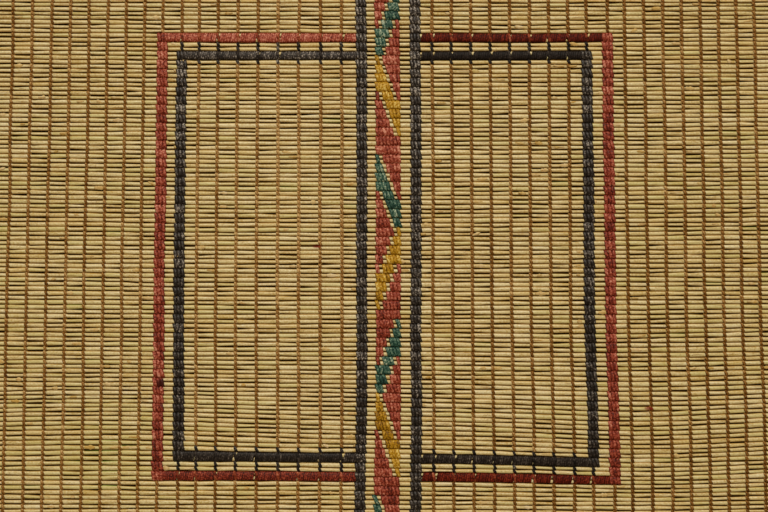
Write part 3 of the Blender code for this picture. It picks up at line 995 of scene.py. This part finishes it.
def wrapped_bar(name, spans, first_row, spin, tone, rub):
    """A ridged tube round two stems for each of the lengths. The section is a squared oval,
    sheared so that its front leans to the upper right. The ridges are a cosine of X."""
    count = int(round(max(b - a for a, b in spans) / TURN_PITCH * SECTIONS_PER_TURN)) + 1
    x = np.array([a + (b - a) * np.linspace(0, 1, count) for a, b in spans])[..., None]
    turn = 2 * np.pi * (np.arange(BAR_SIDES) + 0.5) / BAR_SIDES
    cos, sin = np.cos(turn), np.sin(turn)
    turns = x / TURN_PITCH + spin.normal(0.0, TURN_STRAY, x.shape)
    ridge = RIDGE * np.cos(2 * np.pi * turns)
    ridge = ridge + spin.normal(0.0, RIDGE_STRAY, (*x.shape[:2], BAR_SIDES))
    top, bottom = row_y(x, first_row), row_y(x, first_row + 2)
    half = (top - bottom) / 2 - BAR_CLEARANCE
    y = (top + bottom) / 2 + (half + ridge * 0.5) * squared_off(cos, BAR_SQUARENESS)
    z = MID_Z + (BAR_HEIGHT + ridge) * squared_off(sin, BAR_SQUARENESS)
    rings = np.stack(np.broadcast_arrays(x + BAR_LEAN * cos, y, z), axis=-1)
    number = np.floor(turns).astype(int) % MANY_TURNS
    of_turn = spin.normal(0.0, TURN_TONES, MANY_TURNS)[number]
    # Painted shade: the bar's lower edge, facing away from the lamp, is darker.
    shade = BAR_SHADE + tone + of_turn - LOWER_EDGE_PAINTED_SHADE * (cos < -0.5)
    # Painted shade in the grooves between the turns.
    crease_shade = TURN_GROOVE_SHADE * (1 - np.cos(2 * np.pi * turns))
    return joined_tubes(name, rings, marks={"shade": shade, "crease_shade": crease_shade, "rub": rub})


print("turns to each 10 mm of bar:", round(10 * MM / TURN_PITCH, 1))

# %% [markdown]
# The eight bars and four uprights differ in tone on the real mat: the red bars are pale at the
# upper left and deep wine red elsewhere. The left red upright has one dark blot.

# %% The two pairs of brackets
BAR_RUB = {"left": 0.6, "right": 0.42}
UPRIGHT_RUB = {"black": 0.75, "red": 0.65}
CENTRE_BAND_REACH = 3.2 * MM
RED_BLOT = (-132.6 * MM, 1.8 * MM, -76.8 * MM, 1.6 * MM, 1.5)
UPRIGHT_TONE = {("red", "left"): 0.03, ("red", "right"): -0.01,
                ("black", "left"): -0.03, ("black", "right"): -0.05}
BAR_TONE = {("red", "left", "upper"): 0.25, ("red", "right", "upper"): -0.26,
            ("red", "left", "lower"): -0.12, ("red", "right", "lower"): -0.22,
            ("black", "left", "upper"): 0.2, ("black", "right", "upper"): -0.08,
            ("black", "left", "lower"): 0.0, ("black", "right", "lower"): 0.06}

for colour, (first, last) in BRACKETS.items():
    for side in SIDES:
        spin = np.random.default_rng(SEED + 40 + len(dyed_pieces["black"]) * 7
                                     + len(dyed_pieces["red"]))
        upright_x = bracket_x[colour, side]
        name = f"bracket_{colour}_{side}"
        upright = stitches(f"{name}_upright", *band_cells(upright_x, first, last + 2), spin,
                           tone=UPRIGHT_TONE[colour, side], rub=UPRIGHT_RUB[colour],
                           stains=[RED_BLOT] if name == "bracket_red_left" else [])
        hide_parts(name)
        dyed_pieces[colour].append(upright)
        crossings = list(thong_x[f"inner_{side}"])
        if colour == "red":
            crossings.append(bracket_x["black", side])
        ends = sorted([upright_x, centre_x[side] + np.sign(upright_x) * CENTRE_BAND_REACH])
        for label, pair in (("upper", first), ("lower", last)):
            bar = wrapped_bar(f"{name}_{label}_bar", lengths_between(*ends, crossings, spin), pair,
                              spin, BAR_TONE[colour, side, label], BAR_RUB[side])
            dyed_pieces[colour].append(bar)

# %% [markdown]
# ### Dyed leather
#
# The dyes sit in the skin, so the colour stays matt. Rubbing has greyed the crowns of the
# stitches, and the black's palest stop also paints glints as pale flecks. The hollows between
# the stitches are almost black, a painted crease shade.

# %% Materials: dyed goatskin strips


def dyed_leather(name, stops, roughness):
    """A dyed strip's material: one ramp of colours from its hollows to its worn crowns."""
    material, tree, shader = new_material(name, roughness=roughness, ior=1.5)
    tone, wear, rub = leather_tone(tree)
    finish_leather(tree, shader, add(tree, "ValToRGB", {"Fac": tone}, stops=stops), wear, rub)
    return material


leathers = {"black": dyed_leather("black_dyed_goatskin", BLACK_AND_GLINT_STOPS, 0.45),
            "red": dyed_leather("red_dyed_goatskin", RED_STOPS, 0.55)}
for colour, pieces in dyed_pieces.items():
    for piece in pieces:
        piece.data.materials.append(leathers[colour])
        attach(piece, "root")
    print(colour, "pieces:", len(pieces))

# %% [markdown]
# ## The zigzag
#
# Seven strips of red, yellow and green run down the middle between the two black bands.
# A diagonal steps one way, then the other, and red fills the corners that it leaves.
# The steps are charted below: C is the diagonal's colour, R red and a dot bare stem.

# %% The chart
DIAGONAL = ("C.RRRRR", "CC.RRRR", "CCC.RRR", "CCCC.RR", "R.CCC.R",
            "RR.CCCC", "RRR.CCC", "RRRR.CC", "RRRRR.C")
WHOLE_ROW = "RRRRRRR"
# The colour of each diagonal, its first and last step, and the whole rows of red after it.
ZIGZAG = (("G", 7, 1, 0), ("Y", 0, 8, 2), ("G", 0, 7, 0), ("Y", 8, 0, 1),
          ("G", 8, 1, 0), ("Y", 0, 8, 2), ("G", 0, 2, 0))

chart = []
for colour, first, last, whole in ZIGZAG:
    step = 1 if last > first else -1
    chart += [DIAGONAL[i].replace("C", colour) for i in range(first, last + step, step)]
    chart += [WHOLE_ROW] * whole
print(len(chart), "rows of stitches:", chart[7:17])

# %% [markdown]
# Each letter becomes one stitch over a pair of stems. A flat band could carry the pattern as
# colours, but then the stitches would have no thickness and no slant of their own.

# %% The stitches of the zigzag
ZIGZAG_FIRST_ROW = 1
ZIGZAG_THICKNESS = 1.0 * MM
ZIGZAG_TONE, ZIGZAG_RUB = 0.06, 0.65
# Colour, number of solids that it replaces, and slant of its stitches.
ZIGZAG_COLOURS = {"R": ("red", 7, 1.2 * MM), "Y": ("yellow", 3, 1.5 * MM),
                  "G": ("green", 4, 1.9 * MM)}
leathers["yellow"] = dyed_leather("yellow_dyed_goatskin", [
    (0.0, "#5c3c01"), (0.35, "#9b6f0a"), (0.65, "#c0921c"), (1.0, "#e2c976")], 0.55)
leathers["green"] = dyed_leather("green_dyed_goatskin", [
    (0.0, "#0d1f1d"), (0.4, "#1c4339"), (0.7, "#4a6d5c"), (1.0, "#b0bba2")], 0.55)

letters = np.array([list(line) for line in chart])
for letter, (colour, patches, slant) in ZIGZAG_COLOURS.items():
    spin = np.random.default_rng(SEED + 70 + patches)
    pair, strip = np.nonzero(letters == letter)
    x = ZIGZAG_X + (strip - len(WHOLE_ROW) // 2) * STRIP
    piece = stitches(f"zigzag_{colour}_stitches", x, ZIGZAG_FIRST_ROW + 2 * pair, spin,
                     slant=slant, thickness=ZIGZAG_THICKNESS, tone=ZIGZAG_TONE, rub=ZIGZAG_RUB)
    piece.data.materials.append(leathers[colour])
    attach(piece, "root")
    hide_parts(*[f"zigzag_{colour}_{i + 1}" for i in range(patches)])

# %% [markdown]
# ## Floor and light
#
# The mat lies on a plain pale floor. One large square is enough, because the mat fills the
# picture, and a pattern on it would only draw the eye away in the other views.

# %% Floor
FLOOR_REACH = 3.0
floor_mesh = bpy.data.meshes.new("floor")
floor_mesh.from_pydata([(-FLOOR_REACH, -FLOOR_REACH, 0), (FLOOR_REACH, -FLOOR_REACH, 0),
                        (FLOOR_REACH, FLOOR_REACH, 0), (-FLOOR_REACH, FLOOR_REACH, 0)],
                       [], [(0, 1, 2, 3)])
floor = bpy.data.objects.new("floor", floor_mesh)
bpy.context.scene.collection.objects.link(floor)
pale, _, pale_shader = new_material("plain_pale_floor", roughness=0.85, ior=1.5)
pale_shader.inputs["Base Color"].default_value = linear("#d9d0c3")
floor_mesh.materials.append(pale)
print("floor side in m:", 2 * FLOOR_REACH)

# %% [markdown]
# One broad lamp hangs beyond the mat's upper edge, so each stem is bright on its upper side and
# casts a thin shadow over the gap below it. It hangs far off, because a near lamp would
# light the upper rows more than the lower ones. A weak warm sky fills the shadows.

# %% Lamp and sky
LAMP_PLACE = (-0.2, 3.1, 4.18)
LAMP_SIZE = 1.8
LAMP_WATTS = 204.0
SKY_STRENGTH = 0.25

lamp_data = bpy.data.lights.new("key_lamp", "AREA")
lamp_data.shape = "DISK"
lamp_data.size = LAMP_SIZE
lamp_data.energy = LAMP_WATTS
lamp_data.color = (1.0, 0.95, 0.85)
lamp = bpy.data.objects.new("key_lamp", lamp_data)
lamp.location = LAMP_PLACE
lamp.rotation_euler = (-lamp.location).to_track_quat("-Z", "Y").to_euler()
bpy.context.scene.collection.objects.link(lamp)

world = bpy.data.worlds.new("studio")
world.use_nodes = True
sky = world.node_tree.nodes["Background"]
sky.inputs["Color"].default_value = linear("#f2ce94")
sky.inputs["Strength"].default_value = SKY_STRENGTH
bpy.context.scene.world = world
bpy.context.scene.view_settings.view_transform = "Standard"
print("lamp at", [round(v, 2) for v in lamp.location])
